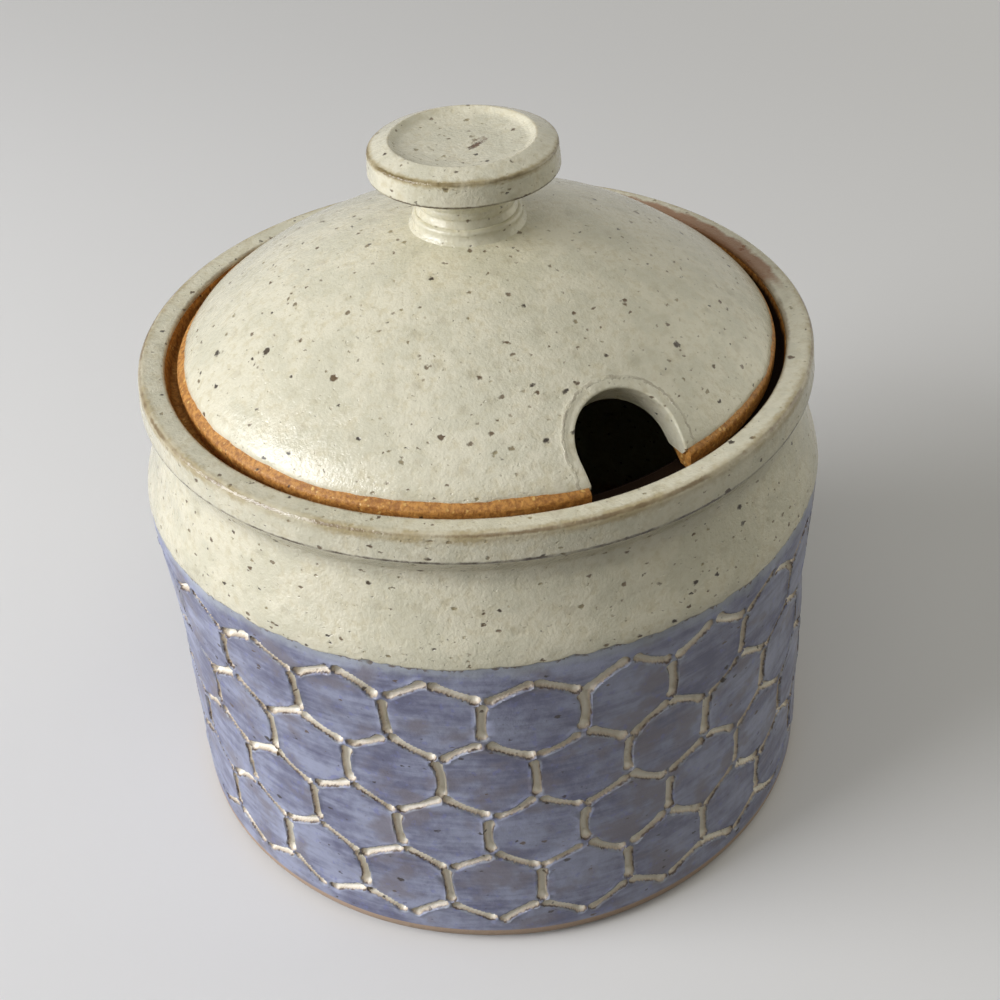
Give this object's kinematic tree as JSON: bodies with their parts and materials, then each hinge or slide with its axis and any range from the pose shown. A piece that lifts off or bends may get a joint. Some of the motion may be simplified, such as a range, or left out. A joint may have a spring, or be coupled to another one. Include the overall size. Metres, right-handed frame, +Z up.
{
  "type": "honey pot",
  "caption": "Round stoneware honey pot with a galleried mouth and a domed lift-off lid that has a finger knob and a spoon notch in its edge.",
  "frame": {"origin": "centre of the base, in the plane that the pot stands on", "axes": "+Z up along the pot's axis; the spoon notch in the lid faces -Y; X across"},
  "size_m": [0.1184, 0.1184, 0.1207],
  "materials": {
    "bare_clay": "unglazed toasted stoneware, matt and gritty",
    "cream_glaze": "oatmeal satin glaze with iron specks",
    "blue_slip": "brushed blue slip, satin"
  },
  "bodies": {
    "pot": {"pot_body": "bare_clay", "slip_band": "blue_slip", "neck_glaze": "cream_glaze"},
    "lid": {"lid_dome": "bare_clay", "lid_glaze": "cream_glaze", "knob": "cream_glaze", "knob_coil": "cream_glaze"}
  },
  "joints": [
    {"name": "lid_lift", "type": "slide", "parent": "pot", "child": "lid", "axis": [0, 0, 1], "range_m": [0, 0.08]}
  ]
}
